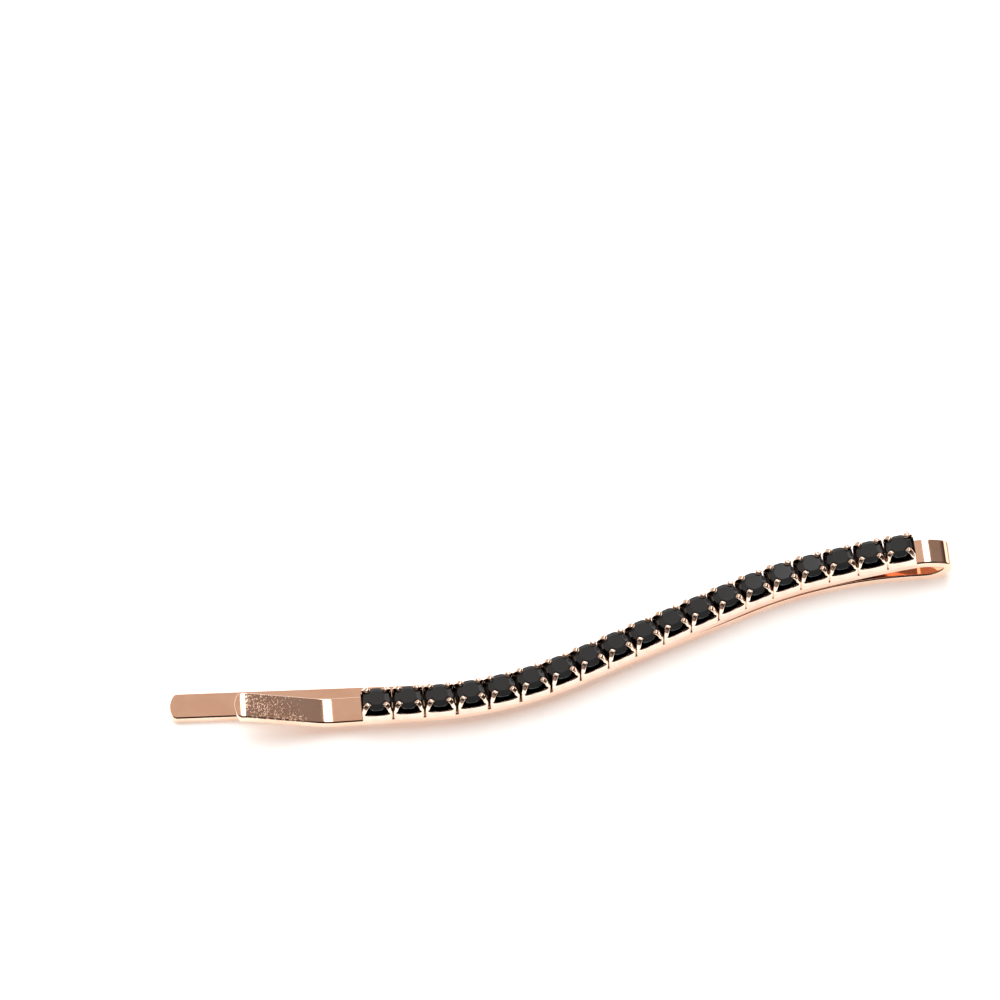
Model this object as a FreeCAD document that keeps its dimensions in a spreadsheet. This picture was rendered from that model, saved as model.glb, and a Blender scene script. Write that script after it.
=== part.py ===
import FreeCAD, Part
import math
import os

import Sketcher

from FreeCAD import Placement, Rotation, Vector

# A decorated bobby pin: one flat spring strip folded into two arms, with a chain of
# prong-set stones bonded along the upper arm. Millimetres and degrees, +Z up, X from the
# open tips towards the folded bow. Each part is drawn with the bow end of the lower arm
# at the zero point and then shifted, so that the origin is the middle of the footprint.

DIMENSIONS = (
    # flat strip
    ("strip_width", 2.65),
    ("strip_thickness", 0.8),
    ("edge_bevel", 0.18),
    ("tip_end_radius", 2.2),
    ("tip_corner_radius", 0.45),
    # wave of the strip seen from above
    ("wave_angle", 23),
    ("tip_bend_radius", 34),
    ("bow_bend_radius", 42),
    ("bow_run", 1.2),
    ("chain_lead", 6),
    ("fan_angle", 1.8),
    # lengths towards the tips
    ("crease_margin", 3.3),
    ("roll_run", 7.1),
    ("ramp_run", 7.45),
    ("tip_overhang", 6.75),
    # upper arm seen from the side
    ("arm_gap", 0.12),
    ("roll_angle", 16),
    ("roll_radius", 4),
    ("crease_angle", 15),
    ("crease_radius", 8),
    ("rise_angle", 10.5),
    ("rise_radius", 40),
    # folded bow seen from the side
    ("bow_lower_radius", 2.75),
    ("bow_lower_angle", 44.5),
    ("bow_inner_radius", 0.165),
    ("bow_top_radius", 5.5),
    ("bow_top_angle", 18),
    ("bow_neck_radius", 4),
    # faceted stone
    ("stone_count", 19),
    ("stone_diameter", 2.4),
    ("table_width", 1.45),
    ("crown_height", 0.28),
    ("girdle_height", 0.07),
    ("pavilion_height", 0.93),
    ("culet_width", 0.24),
    # stamped cup with four prongs
    ("cup_rim", 0.1),
    ("cup_gap", 0.2),
    ("cup_height", 0.62),
    ("cup_floor", 0.3),
    ("cup_wall", 0.18),
    ("cup_corner", 0.3),
    ("scoop_depth", 0.1),
    ("prong_width", 0.34),
    ("prong_thickness", 0.24),
    ("prong_hook", 0.16),
    ("prong_root", 0.3),
    ("prong_clearance", 0.03),
    ("chain_margin", 0.1),
    # flat links under the cups, and the bond under the chain
    ("link_width", 0.6),
    ("link_thickness", 0.12),
    ("link_hold", 0.45),
    ("link_play", 0.1),
    ("link_clearance", 0.05),
    ("bond_thickness", 0.06),
    ("bond_inset", 0.3),
)

FACETS = 8
GIRDLE_SIDES = 16
CAVITY_SIDES = 8
PRONGS = 4

LAYOUT = (
    # strip and wave
    ("half_width", "dims.strip_width / 2"),
    ("half_thickness", "dims.strip_thickness / 2"),
    ("lower_tip_heading", "-dims.fan_angle"),
    ("lower_mid_heading", "dims.wave_angle - dims.fan_angle"),
    ("cup_side", "dims.stone_diameter + 2 * dims.cup_rim"),
    ("pitch", "cup_side + dims.cup_gap"),
    ("bow_bend_length", "dims.bow_bend_radius * dims.wave_angle * pi / 180"),
    ("tip_bend_length", "dims.tip_bend_radius * dims.wave_angle * pi / 180"),
    ("bow_mid_radius", "dims.bow_inner_radius + half_thickness"),
    ("fold_reach", "(dims.bow_lower_radius - bow_mid_radius) * sin(dims.bow_lower_angle)"),
    ("top_reach", "fold_reach - (dims.bow_top_radius - bow_mid_radius) * sin(dims.bow_top_angle)"),
    ("slope_end", "dims.bow_neck_radius * sin(dims.rise_angle) - top_reach"),
    ("chain_length", "dims.stone_count * pitch - dims.cup_gap"),
    ("chain_reach", "slope_end + dims.chain_margin + chain_length"),
    ("bends_length", "dims.bow_run + bow_bend_length + tip_bend_length"),
    ("mid_run", "chain_reach - dims.chain_lead - bends_length"),
    ("upper_tip_run", "dims.chain_lead + dims.crease_margin + dims.ramp_run"),
    ("lower_tip_run", "upper_tip_run + dims.tip_overhang"),
    ("bend_radii", "dims.bow_bend_radius + dims.tip_bend_radius"),
    ("wave_span", "dims.bow_run + bend_radii * sin(dims.wave_angle)"
                  " + mid_run * cos(dims.wave_angle)"),
    ("wave_drop", "bend_radii * (1 - cos(dims.wave_angle)) + mid_run * sin(dims.wave_angle)"),
    ("profile_depth", "2 * (wave_drop + dims.strip_width)"),
    # bow and upper arm from the side
    ("zero", "0"),
    ("lower_height", "half_thickness + dims.bow_lower_radius"),
    ("fold_height", "lower_height"
                    " - (dims.bow_lower_radius - bow_mid_radius) * cos(dims.bow_lower_angle)"),
    ("top_height", "fold_height"
                   " - (dims.bow_top_radius - bow_mid_radius) * cos(dims.bow_top_angle)"),
    ("neck_height", "top_height + dims.bow_top_radius - dims.bow_neck_radius"),
    ("fold_sweep", "180 - dims.bow_lower_angle - dims.bow_top_angle"),
    ("slope_top", "neck_height + dims.bow_neck_radius * cos(dims.rise_angle)"),
    ("flat_centre", "dims.strip_thickness + dims.arm_gap + half_thickness"),
    ("slope_run", "(slope_top - flat_centre - dims.rise_radius * (1 - cos(dims.rise_angle)))"
                  " / sin(dims.rise_angle)"),
    ("rise_start", "slope_end + slope_run * cos(dims.rise_angle)"
                   " + dims.rise_radius * sin(dims.rise_angle)"),
    ("ramp_heading", "-dims.crease_angle"),
    ("crease_place", "wave_span + dims.chain_lead + dims.crease_margin"),
    ("crease_tangent", "dims.crease_radius * tan(dims.crease_angle / 2)"),
    ("flat_run", "crease_place - crease_tangent - rise_start"),
    ("roll_heading", "dims.roll_angle - dims.crease_angle"),
    ("roll_tangent", "dims.roll_radius * tan(dims.roll_angle / 2)"),
    ("ramp_length", "dims.roll_run / cos(dims.crease_angle) - crease_tangent - roll_tangent"),
    ("roll_length", "dims.ramp_run + dims.strip_width - dims.roll_run"),
    # bond under the chain
    ("bond_half", "dims.bond_thickness / 2"),
    ("bond_lift", "half_thickness + bond_half"),
    ("bond_radius", "dims.rise_radius - bond_lift"),
    ("bond_half_width", "cup_side / 2 - dims.bond_inset"),
    ("bond_lead", "dims.chain_lead - dims.bond_inset"),
    ("bond_setback", "dims.chain_margin + dims.bond_inset"),
    ("bond_slope_run", "slope_run - bond_setback"),
    ("bond_end", "slope_end + bond_setback * cos(dims.rise_angle)"
                 " + bond_lift * sin(dims.rise_angle)"),
    ("bond_top", "slope_top - bond_setback * sin(dims.rise_angle)"
                 " + bond_lift * cos(dims.rise_angle)"),
    # stone, measured from the underside of its cup
    ("stone_radius", "dims.stone_diameter / 2"),
    ("stone_height", "dims.pavilion_height + dims.girdle_height + dims.crown_height"),
    ("girdle_flat", "stone_radius * cos(180 / %d)" % GIRDLE_SIDES),
    ("culet_half", "dims.culet_width / 2"),
    ("table_half", "dims.table_width / 2"),
    ("girdle_base", "dims.cup_floor + dims.pavilion_height"),
    ("girdle_top", "girdle_base + dims.girdle_height"),
    ("table_height", "girdle_top + dims.crown_height"),
    ("crown_slope", "dims.crown_height / (girdle_flat - table_half)"),
    ("pavilion_slope", "dims.pavilion_height / (girdle_flat - culet_half)"),
    ("facet_out", "girdle_flat + dims.girdle_height"),
    ("facet_width", "3 * dims.stone_diameter"),
    ("crown_in", "table_half - dims.girdle_height"),
    ("crown_low", "girdle_top - dims.girdle_height * crown_slope"),
    ("crown_high", "table_height + dims.girdle_height * crown_slope"),
    ("pavilion_in", "culet_half - dims.girdle_height"),
    ("pavilion_high", "girdle_base + dims.girdle_height * pavilion_slope"),
    ("pavilion_low", "dims.cup_floor - dims.girdle_height * pavilion_slope"),
    # cup, prongs and links
    ("cavity_radius", "(cup_side / 2 - dims.cup_wall) / cos(180 / %d)" % CAVITY_SIDES),
    ("corner_height", "dims.cup_height + dims.scoop_depth"),
    ("scoop_top", "corner_height + dims.scoop_depth"),
    ("scoop_low_half", "cup_side / 2 - dims.cup_corner - dims.scoop_depth"),
    ("scoop_high_half", "scoop_low_half + 4 * dims.scoop_depth"),
    ("scoop_low_left", "-scoop_low_half"),
    ("scoop_high_left", "-scoop_high_half"),
    ("scoop_length", "2 * cup_side"),
    ("prong_foot", "corner_height - dims.prong_root"),
    ("prong_out", "(cup_side - dims.cup_corner) / sqrt(2) - dims.prong_clearance"),
    ("prong_in", "prong_out - dims.prong_thickness"),
    ("knee_in", "girdle_flat + dims.prong_clearance"),
    ("knee_out", "knee_in + dims.prong_thickness"),
    ("knee_top", "girdle_top + dims.prong_thickness / 2"),
    ("hook_in", "girdle_flat - dims.prong_hook"),
    ("hook_out", "hook_in + dims.prong_thickness / 2"),
    ("hook_low", "girdle_top + dims.prong_hook * crown_slope + 2 * dims.prong_clearance"),
    ("hook_top", "hook_low + dims.prong_thickness / 2"),
    ("slot_width", "dims.link_width + 2 * dims.link_play"),
    ("slot_height", "dims.link_thickness + 2 * dims.link_clearance"),
    ("slot_length", "dims.link_hold + dims.link_clearance + dims.cup_gap"),
    ("slot_place", "(cup_side + dims.cup_gap - dims.link_hold - dims.link_clearance) / 2"),
    ("link_length", "dims.cup_gap + 2 * dims.link_hold"),
)

# A sketch's own zero point and its two axes
ORIGIN = (-1, 1)
LEVEL = -1
UPRIGHT = -2

doc = FreeCAD.newDocument("bobby_pin")


def make_sheet(name, rows, prefix):
    """A sheet with one named value per row."""
    sheet = doc.addObject("Spreadsheet::Sheet", name)
    for row, (alias, content) in enumerate(rows, 1):
        sheet.set("A%d" % row, alias)
        sheet.set("B%d" % row, prefix + str(content))
        sheet.setAlias("B%d" % row, alias)
    doc.recompute()
    return sheet


dims = make_sheet("dims", DIMENSIONS, "")
layout = make_sheet("layout", LAYOUT, "=")
DRIVING = frozenset(alias for alias, value in DIMENSIONS)


def ref(alias):
    """The expression that points at a named value."""
    return ("dims." if alias in DRIVING else "layout.") + alias


def size(alias):
    """A named value as a plain number."""
    sheet = dims if alias in DRIVING else layout
    return float(sheet.get(alias))


# Bodies and sketches


def origin_feature(body, role):
    """A base plane or axis of a body's own origin."""
    return next(f for f in body.Origin.OriginFeatures if f.Role == role)


def add_body(name):
    """An empty body whose label names the sub-part."""
    body = doc.addObject("PartDesign::Body", name)
    body.Label = name
    return body


def add_sketch(body, role, name, turn=0, lift=None):
    """A sketch on a base plane of its body, turned about the plane's second axis or lifted."""
    sketch = body.newObject("Sketcher::SketchObject", name)
    sketch.AttachmentSupport = [(origin_feature(body, role), "")]
    sketch.MapMode = "FlatFace"
    sketch.AttachmentOffset = Placement(Vector(), Rotation(Vector(0, 1, 0), turn))
    if lift:
        sketch.setExpression("AttachmentOffset.Base.z", ref(lift))
    return sketch


def rule(sketch, *terms):
    """Add a geometric constraint."""
    return sketch.addConstraint(Sketcher.Constraint(*terms))


def bind(sketch, expression, *terms):
    """Add a sized constraint and tie it to the sheets."""
    index = rule(sketch, *terms)
    sketch.setExpression("Constraints[%d]" % index, expression)


def add_feature(body, kind, name, profile, **sizes):
    """A sketched feature whose sizes are tied to named values."""
    feature = body.newObject("PartDesign::" + kind, name)
    feature.Profile = profile
    for prop, alias in sizes.items():
        feature.setExpression(prop, ref(alias))
    profile.Visibility = False
    return feature


def add_pad(body, name, profile, length, midplane=False):
    pad = add_feature(body, "Pad", name, profile, Length=length)
    pad.Midplane = midplane
    return pad


def add_cut(body, name, profile, length, midplane=False, upward=False):
    cut = add_feature(body, "Pocket", name, profile, Length=length)
    cut.Midplane = midplane
    cut.Reversed = upward
    return cut


def add_pattern(body, name, original, count):
    """Even copies of a feature around the upright axis."""
    pattern = body.newObject("PartDesign::PolarPattern", name)
    pattern.Originals = [original]
    pattern.Axis = (origin_feature(body, "Z_Axis"), [""])
    pattern.Angle = 360
    pattern.Occurrences = count
    body.Tip = pattern
    return pattern


def finish_edges(body, name, base, chosen, **finish):
    """Round (Radius) or bevel (Size) the edges of the base feature that the choice picks."""
    doc.recompute()
    edges = ["Edge%d" % n for n, edge in enumerate(base.Shape.Edges, 1) if chosen(edge)]
    kind = "Fillet" if "Radius" in finish else "Chamfer"
    feature = body.newObject("PartDesign::" + kind, name)
    feature.Base = (base, edges)
    for prop, alias in finish.items():
        feature.setExpression(prop, ref(alias))
    doc.recompute()
    return feature


def draw_polygon(sketch, corners):
    """A closed polygon whose corners are pairs of named values."""
    points = [Vector(size(x), size(y), 0) for x, y in corners]
    lines = add_loop(sketch, points)
    for line, point, (x, y) in zip(lines, points, corners):
        bind(sketch, ref(x), "DistanceX", *ORIGIN, line, 1, point.x)
        bind(sketch, ref(y), "DistanceY", *ORIGIN, line, 1, point.y)


def draw_regular(sketch, sides, radius):
    """An even polygon about the zero point, with a flat side across the first axis."""
    reach = size(radius)
    lines = add_loop(sketch, [along((step - 0.5) * 360 / sides) * reach for step in range(sides)])
    ring = sketch.addGeometry(Part.Circle(Vector(), Vector(0, 0, 1), reach), True)
    rule(sketch, "Coincident", ring, 3, *ORIGIN)
    bind(sketch, ref(radius), "Radius", ring, reach)
    rule(sketch, "Vertical", lines[0])
    for line in lines:
        rule(sketch, "PointOnObject", line, 1, ring)
    for line in lines[1:]:
        rule(sketch, "Equal", lines[0], line)


def add_loop(sketch, points):
    """Straight lines round a closed loop of points."""
    ends = zip(points, points[1:] + points[:1])
    lines = [sketch.addGeometry(Part.LineSegment(start, stop)) for start, stop in ends]
    for step, line in enumerate(lines):
        rule(sketch, "Coincident", lines[step - 1], 2, line, 1)
    return lines


def draw_rectangle(sketch, width, height, place=None, side=1):
    """A rectangle centred on the first axis, at a named distance to one side."""
    middle = side * size(place) if place else 0
    w, h = size(width) / 2, size(height) / 2
    signs = ((-1, -1), (1, -1), (1, 1), (-1, 1))
    lines = add_loop(sketch, [Vector(middle + x * w, y * h, 0) for x, y in signs])
    for step, line in enumerate(lines):
        rule(sketch, "Vertical" if step % 2 else "Horizontal", line)
    bind(sketch, ref(width), "Distance", lines[0], 2 * w)
    bind(sketch, ref(height), "Distance", lines[1], 2 * h)
    target = ORIGIN
    if place:
        target = (sketch.addGeometry(Part.Point(Vector(middle, 0, 0)), True), 1)
        ends = (*ORIGIN, *target) if side > 0 else (*target, *ORIGIN)
        bind(sketch, ref(place), "DistanceX", *ends, abs(middle))
        rule(sketch, "PointOnObject", *target, LEVEL)
    rule(sketch, "Symmetric", lines[0], 1, lines[2], 1, *target)


# Bands of even width along straight runs and tangent bends


def along(heading):
    """Unit vector of a heading in degrees."""
    return Vector(math.cos(math.radians(heading)), math.sin(math.radians(heading)), 0)


def across(heading):
    """Unit vector to the left of a heading in degrees."""
    return along(heading + 90)


def centre_line(headings, lengths, radii, end):
    """Runs (start, stop) and bends (centre, side) of a path that arrives at its end."""
    runs = []
    bends = []
    point = end
    for step in reversed(range(len(headings))):
        start = point - along(headings[step]) * lengths[step]
        runs.insert(0, (start, point))
        if step:
            side = math.copysign(1, headings[step] - headings[step - 1])
            centre = start + across(headings[step]) * side * radii[step - 1]
            bends.insert(0, (centre, side))
            point = centre - across(headings[step - 1]) * side * radii[step - 1]
    return runs, bends


def draw_side(sketch, headings, radii, runs, bends, offset):
    """One long side of a band, to the left of its path by the offset."""
    lines = []
    arcs = []
    for heading, (start, stop) in zip(headings, runs):
        shift = across(heading) * offset
        lines.append(sketch.addGeometry(Part.LineSegment(start + shift, stop + shift)))
    for step, (centre, side) in enumerate(bends):
        circle = Part.Circle(centre, Vector(0, 0, 1), radii[step] - side * offset)
        ends = [math.radians(h - side * 90) for h in headings[step:step + 2]]
        arcs.append(sketch.addGeometry(Part.ArcOfCircle(circle, min(ends), max(ends))))
        first, last = (1, 2) if side > 0 else (2, 1)
        rule(sketch, "Tangent", lines[step], 2, arcs[step], first)
        rule(sketch, "Tangent", arcs[step], last, lines[step + 1], 1)
    return lines, arcs


def draw_band(sketch, runs, radii, half, end=None, tip=None):
    """A closed band. runs holds (heading, length), a heading of None being level.

    half is half its width, end the place (left of zero, height) where it arrives, zero if
    None, and tip the radius of its rounded free end, which is square if None.
    """
    headings = [size(heading) if heading else 0 for heading, length in runs]
    lengths = [size(length) for heading, length in runs]
    bend_radii = [size(radius) for radius in radii]
    width = size(half)
    place = Vector(-size(end[0]), size(end[1]), 0) if end else Vector()
    path, bends = centre_line(headings, lengths, bend_radii, place)
    right, right_arcs = draw_side(sketch, headings, bend_radii, path, bends, -width)
    left, left_arcs = draw_side(sketch, headings, bend_radii, path, bends, width)
    for step, (heading, length) in enumerate(runs):
        if heading:
            angle = math.radians(headings[step])
            bind(sketch, ref(heading), "Angle", right[step], angle)
        else:
            rule(sketch, "Horizontal", right[step])
        bind(sketch, ref(length), "Distance", right[step], lengths[step])
        rule(sketch, "Parallel", right[step], left[step])
    for step, (centre, side) in enumerate(bends):
        rule(sketch, "Coincident", right_arcs[step], 3, left_arcs[step], 3)
        sign = "+" if side > 0 else "-"
        bind(sketch, "%s %s %s" % (ref(radii[step]), sign, ref(half)),
             "Radius", right_arcs[step], bend_radii[step] + side * width)
    rule(sketch, "Equal", right[0], left[0])
    close_band(sketch, right, left, half, end, place, tip)


def close_band(sketch, right, left, half, end, place, tip):
    """The two ends of a band: square where it arrives, square or rounded at its tip."""
    corners = [sketch.getPoint(right[-1], 2), sketch.getPoint(left[-1], 2)]
    closing = sketch.addGeometry(Part.LineSegment(*corners))
    rule(sketch, "Coincident", closing, 1, right[-1], 2)
    rule(sketch, "Coincident", closing, 2, left[-1], 2)
    rule(sketch, "Perpendicular", closing, right[-1])
    bind(sketch, "2 * " + ref(half), "Distance", closing, 2 * size(half))
    target = ORIGIN
    if end:
        target = (sketch.addGeometry(Part.Point(place), True), 1)
        bind(sketch, ref(end[0]), "DistanceX", *target, *ORIGIN, -place.x)
        bind(sketch, ref(end[1]), "DistanceY", *ORIGIN, *target, place.y)
    rule(sketch, "Symmetric", closing, 1, closing, 2, *target)
    near, far = sketch.getPoint(right[0], 1), sketch.getPoint(left[0], 1)
    if not tip:
        edge = sketch.addGeometry(Part.LineSegment(far, near))
        rule(sketch, "Coincident", edge, 1, left[0], 1)
        rule(sketch, "Coincident", edge, 2, right[0], 1)
        return
    outward = (near - far).cross(Vector(0, 0, 1)).normalize()
    half_chord = near.distanceToPoint(far) / 2
    depth = math.sqrt(size(tip) ** 2 - half_chord ** 2)
    crown = (near + far) / 2 + outward * (size(tip) - depth)
    edge = sketch.addGeometry(Part.Arc(far, crown, near))
    starts_far = sketch.getPoint(edge, 1).distanceToPoint(far) < half_chord
    rule(sketch, "Coincident", edge, 1 if starts_far else 2, left[0], 1)
    rule(sketch, "Coincident", edge, 2 if starts_far else 1, right[0], 1)
    bind(sketch, ref(tip), "Radius", edge, size(tip))


# The folded strip: lower arm, bow and upper arm


def is_upright(edge):
    """A straight edge along Z."""
    straight = edge.Curve.TypeId == "Part::GeomLine"
    return straight and abs(edge.tangentAt(edge.FirstParameter).z) > 0.99


def is_arc(edge):
    """An edge round a bend."""
    return edge.Curve.TypeId == "Part::GeomCircle"


def is_tip_corner(edge):
    """An upright edge in the outer half of the strip's free tip run."""
    return is_upright(edge) and edge.CenterOfMass.x < -size("wave_span") - size("chain_lead")


def is_rim(shape):
    """A test for edges between a flat side and an upright side, away from the joined end."""
    def chosen(edge):
        faces = shape.ancestorsOfType(edge, Part.Face)
        middle = edge.valueAt((edge.FirstParameter + edge.LastParameter) / 2)
        tilts = sorted(abs(face.normalAt(*face.Surface.parameter(middle)).z) for face in faces)
        return len(tilts) == 2 and tilts[0] < 0.1 and tilts[1] > 0.9 and not at_bow(edge)
    return chosen


def at_bow(edge):
    """An edge that lies across the strip where an arm meets the bow."""
    box = edge.BoundBox
    return edge.CenterOfMass.x > -2 * size("slope_end") and box.XLength < size("half_width")


def plan_runs(tip_heading, tip_run, mid_heading):
    return ((tip_heading, tip_run), (mid_heading, "mid_run"), (None, "bow_run"))


PLAN_RADII = ("tip_bend_radius", "bow_bend_radius")
SIDE_RADII = ("roll_radius", "crease_radius", "rise_radius")


def build_lower_arm():
    """Flat arm: the wave outline, padded, with rounded tip corners and bevelled rims."""
    body = add_body("lower_arm")
    outline = add_sketch(body, "XY_Plane", "lower_outline")
    runs = plan_runs("lower_tip_heading", "lower_tip_run", "lower_mid_heading")
    draw_band(outline, runs, PLAN_RADII, "half_width", tip="tip_end_radius")
    pad = add_pad(body, "lower_pad", outline, "strip_thickness")
    corners = finish_edges(body, "lower_corners", pad, is_tip_corner, Radius="tip_corner_radius")
    finish_edges(body, "lower_rims", corners, is_rim(corners.Shape), Size="edge_bevel")
    return body


def build_upper_arm():
    """Arm bent in two directions: its outline from above meets its outline from the side."""
    above = add_body("upper_above")
    outline = add_sketch(above, "XY_Plane", "upper_outline")
    runs = plan_runs(None, "upper_tip_run", "wave_angle")
    draw_band(outline, runs, PLAN_RADII, "half_width", tip="tip_end_radius")
    pad = add_pad(above, "upper_pad", outline, "profile_depth")
    finish_edges(above, "upper_corners", pad, is_tip_corner, Radius="tip_corner_radius")
    beside = add_body("upper_beside")
    profile = add_sketch(beside, "XZ_Plane", "upper_profile")
    runs = (("roll_heading", "roll_length"), ("ramp_heading", "ramp_length"),
            (None, "flat_run"), ("rise_angle", "slope_run"))
    draw_band(profile, runs, SIDE_RADII, "half_thickness", end=("slope_end", "slope_top"))
    add_pad(beside, "upper_depth", profile, "profile_depth", midplane=True)
    blank = add_common("upper_blank", above, beside)
    body = add_body("upper_arm")
    body.BaseFeature = blank
    doc.recompute()
    base = body.Group[0]
    finish_edges(body, "upper_rims", base, is_rim(base.Shape), Size="edge_bevel")
    return body


def add_common(name, first, second):
    """What two bodies share."""
    common = doc.addObject("Part::Common", name)
    common.Base = first
    common.Tool = second
    doc.recompute()
    return common


def draw_bow(sketch):
    """Four tangent bends of even thickness, from the lower arm round to the upper arm."""
    radii = ("bow_lower_radius", "bow_mid_radius", "bow_top_radius", "bow_neck_radius")
    sweeps = ("bow_lower_angle", "fold_sweep", "bow_top_angle", "rise_angle")
    places = (("zero", "lower_height"), ("fold_reach", "fold_height"),
              ("top_reach", "top_height"), ("top_reach", "neck_height"))
    half = size("half_thickness")
    outer, inner = [], []
    heading = 0
    for radius, sweep, (x, y) in zip(radii, sweeps, places):
        bend = (Vector(size(x), size(y), 0), size(radius), heading, heading + size(sweep))
        outer.append(draw_bend(sketch, *bend, half))
        inner.append(draw_bend(sketch, *bend, -half))
        heading += size(sweep)
        rule(sketch, "Coincident", outer[-1], 3, inner[-1], 3)
        bind(sketch, ref(radius) + " + " + ref("half_thickness"),
             "Radius", outer[-1], size(radius) + half)
        bind(sketch, ref(sweep), "Angle", outer[-1], math.radians(size(sweep)))
    for arcs in (outer, inner):
        for first, second in zip(arcs, arcs[1:]):
            rule(sketch, "Tangent", first, 2, second, 1)
    foot = join_ends(sketch, outer[0], inner[0], 1)
    head = join_ends(sketch, outer[-1], inner[-1], 2)
    rule(sketch, "Coincident", foot, 1, *ORIGIN)
    rule(sketch, "Vertical", foot)
    rule(sketch, "PointOnObject", outer[0], 3, UPRIGHT)
    rule(sketch, "PointOnObject", outer[-1], 3, head)
    bind(sketch, ref("strip_thickness"), "Distance", foot, 2 * half)


def draw_bend(sketch, centre, radius, start, stop, offset):
    """A bend to the left between two headings, outside its path by the offset."""
    circle = Part.Circle(centre, Vector(0, 0, 1), radius + offset)
    arc = Part.ArcOfCircle(circle, math.radians(start - 90), math.radians(stop - 90))
    return sketch.addGeometry(arc)


def join_ends(sketch, outer, inner, which):
    """The short line that closes a band between two arcs."""
    line = sketch.addGeometry(
        Part.LineSegment(sketch.getPoint(outer, which), sketch.getPoint(inner, which)))
    rule(sketch, "Coincident", line, 1, outer, which)
    rule(sketch, "Coincident", line, 2, inner, which)
    return line


def build_bow():
    """Spring bend: the folded profile padded to the strip's width, with bevelled rims."""
    body = add_body("bow")
    profile = add_sketch(body, "XZ_Plane", "bow_profile")
    draw_bow(profile)
    pad = add_pad(body, "bow_pad", profile, "strip_width", midplane=True)
    finish_edges(body, "bow_rims", pad, is_arc, Size="edge_bevel")
    return body


# The chain: bond, cups, stones and links


def build_bond():
    """Thin bed that follows the top of the upper arm under the chain."""
    above = add_body("bond_above")
    outline = add_sketch(above, "XY_Plane", "bond_outline")
    draw_band(outline, plan_runs(None, "bond_lead", "wave_angle"), PLAN_RADII, "bond_half_width")
    add_pad(above, "bond_pad", outline, "profile_depth")
    beside = add_body("bond_beside")
    profile = add_sketch(beside, "XZ_Plane", "bond_profile")
    runs = ((None, "flat_run"), ("rise_angle", "bond_slope_run"))
    draw_band(profile, runs, ("bond_radius",), "bond_half", end=("bond_end", "bond_top"))
    add_pad(beside, "bond_depth", profile, "profile_depth", midplane=True)
    bed = add_common("adhesive_bed", above, beside)
    bed.Label = "adhesive_bed"
    return bed


def build_cup(name):
    """Square stamped cup: hollow, scooped walls, link slots below and a prong at each corner."""
    body = add_body(name)
    square = add_sketch(body, "XY_Plane", name + "_square")
    draw_rectangle(square, "cup_side", "cup_side")
    block = add_pad(body, name + "_block", square, "corner_height")
    finish_edges(body, name + "_corners", block, is_upright, Size="cup_corner")
    for role in ("XZ_Plane", "YZ_Plane"):
        scoop = add_sketch(body, role, name + "_scoop_" + role[:2])
        draw_polygon(scoop, (("scoop_low_left", "cup_height"), ("scoop_low_half", "cup_height"),
                             ("scoop_high_half", "scoop_top"), ("scoop_high_left", "scoop_top")))
        add_cut(body, name + "_scooped_" + role[:2], scoop, "scoop_length", midplane=True)
    hollow = add_sketch(body, "XY_Plane", name + "_hollow", lift="cup_floor")
    draw_regular(hollow, CAVITY_SIDES, "cavity_radius")
    add_cut(body, name + "_cavity", hollow, "corner_height", upward=True)
    slots = add_sketch(body, "XY_Plane", name + "_slots")
    for side in (-1, 1):
        draw_rectangle(slots, "slot_length", "slot_width", "slot_place", side)
    add_cut(body, name + "_slotted", slots, "slot_height", upward=True)
    finger = add_sketch(body, "XZ_Plane", name + "_finger", turn=45)
    draw_polygon(finger, (("prong_in", "prong_foot"), ("knee_in", "girdle_top"),
                          ("hook_in", "hook_low"), ("hook_out", "hook_top"),
                          ("knee_out", "knee_top"), ("prong_out", "prong_foot")))
    prong = add_pad(body, name + "_prong", finger, "prong_width", midplane=True)
    add_pattern(body, name + "_prongs", prong, PRONGS)
    return body


def build_stone(name):
    """Faceted stone: a many-sided blank cut to flat facets round the table and the point."""
    body = add_body(name)
    girdle = add_sketch(body, "XY_Plane", name + "_girdle", lift="cup_floor")
    draw_regular(girdle, GIRDLE_SIDES, "stone_radius")
    add_pad(body, name + "_blank", girdle, "stone_height")
    wedges = (("crown", ("facet_out", "crown_low"), ("facet_out", "crown_high"),
               ("crown_in", "crown_high")),
              ("pavilion", ("facet_out", "pavilion_high"), ("facet_out", "pavilion_low"),
               ("pavilion_in", "pavilion_low")))
    for zone, *corners in wedges:
        wedge = add_sketch(body, "XZ_Plane", "%s_%s_wedge" % (name, zone))
        draw_polygon(wedge, corners)
        facet = add_cut(body, "%s_%s_facet" % (name, zone), wedge, "facet_width", midplane=True)
        add_pattern(body, "%s_%s" % (name, zone), facet, FACETS)
    return body


def build_links(seats):
    """Flat links that lie in the slots of each two neighbouring cups."""
    links = []
    for number, (first, second) in enumerate(zip(seats, seats[1:]), 1):
        link = doc.addObject("Part::Box", "link_%02d" % number)
        link.setExpression("Length", ref("link_length"))
        link.setExpression("Width", ref("link_width"))
        link.setExpression("Height", ref("link_thickness"))
        corner = Vector(-size("link_length") / 2, -size("link_width") / 2, size("link_clearance"))
        middle = (first.Base + second.Base) / 2
        turn = first.Rotation.slerp(second.Rotation, 0.5)
        link.Placement = Placement(middle, turn) * Placement(corner, Rotation())
        links.append(link)
    group = doc.addObject("Part::Compound", "chain_links")
    group.Links = links
    return group


# Places along the chain


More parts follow.
